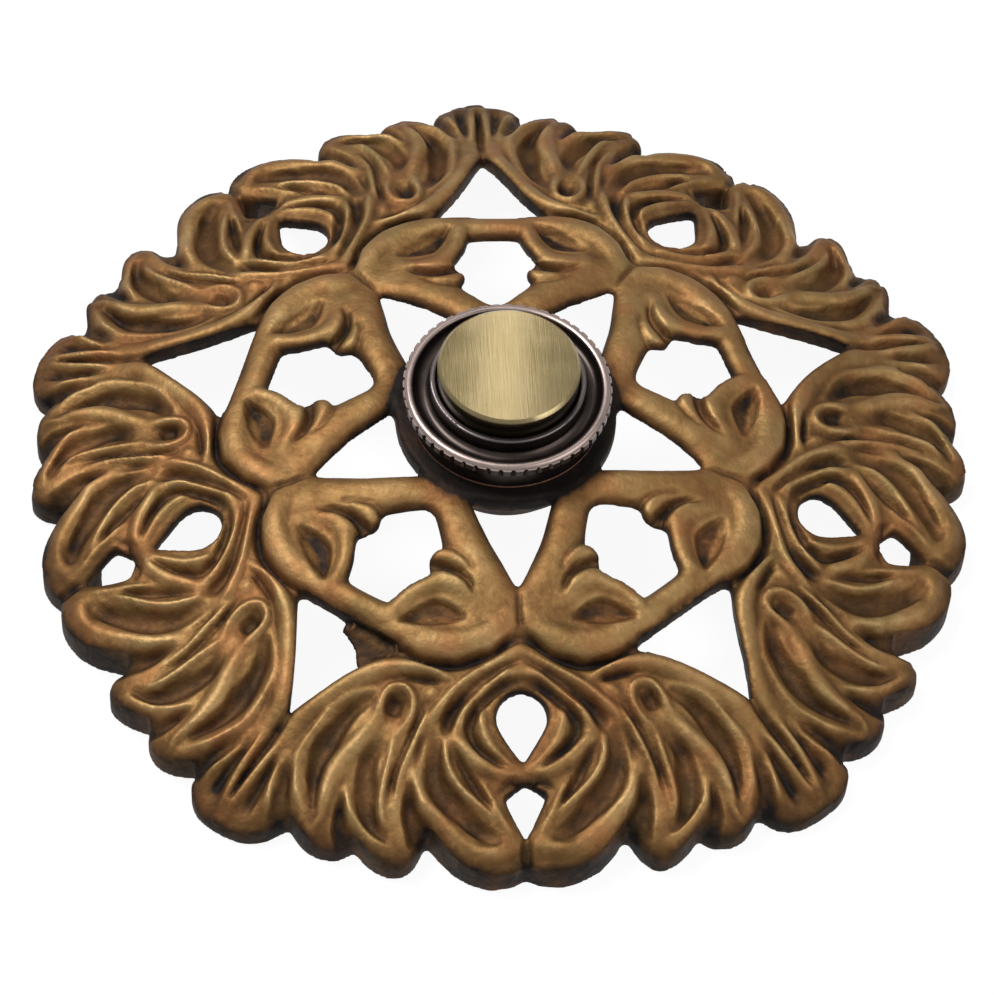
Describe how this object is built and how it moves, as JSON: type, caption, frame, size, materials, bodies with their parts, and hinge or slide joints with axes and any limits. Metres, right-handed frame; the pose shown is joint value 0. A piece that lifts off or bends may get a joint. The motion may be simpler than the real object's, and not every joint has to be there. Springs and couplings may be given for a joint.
{
  "type": "doorbell",
  "caption": "Round domed and pierced cast brass doorbell rosette with leaf clusters, a scroll lattice and a knurled bell push in its middle.",
  "frame": {"origin": "centre of the rosette on the wall plane, where the rim rests", "axes": "+Z out of the wall along the button's axis; one leaf cluster points along -Y, which is down on the wall"},
  "size_m": [0.1038, 0.1053, 0.0228],
  "materials": {
    "cast_brass": "antique cast brass, dark in the recesses",
    "dark_bronze": "oil-rubbed, satin",
    "button_brass": "brushed antique brass",
    "turned_brass": "turned, unlacquered",
    "steel": "zinc plated",
    "spring_bronze": "drawn phosphor bronze",
    "moulded_base": "dark phenolic",
    "fibre": "red-brown vulcanised fibre"
  },
  "bodies": {
    "rosette": {"filigree_plate": "cast_brass", "push_body": "turned_brass", "seat_gasket": "fibre", "bezel_ring": "dark_bronze", "guide_collar": "dark_bronze", "return_spring": "spring_bronze", "contact_base": "moulded_base", "snap_ring": "steel", "fixed_contact_left": "spring_bronze", "fixed_contact_right": "spring_bronze", "terminal_screw_left": "turned_brass", "terminal_screw_right": "turned_brass", "terminal_washer_left": "turned_brass", "terminal_washer_right": "turned_brass", "hub_washer": "steel", "lock_nut": "turned_brass"},
    "button": {"button_cap": "button_brass", "plunger": "turned_brass", "disc_bush": "fibre", "contact_disc": "spring_bronze", "plunger_clip": "steel"}
  },
  "joints": [
    {"name": "button_press", "type": "slide", "parent": "rosette", "child": "button", "axis": [0, 0, -1], "range_m": [0, 0.0014], "stiffness_N_per_m": 900, "springref_m": -0.0025, "deforming": ["return_spring"]}
  ]
}
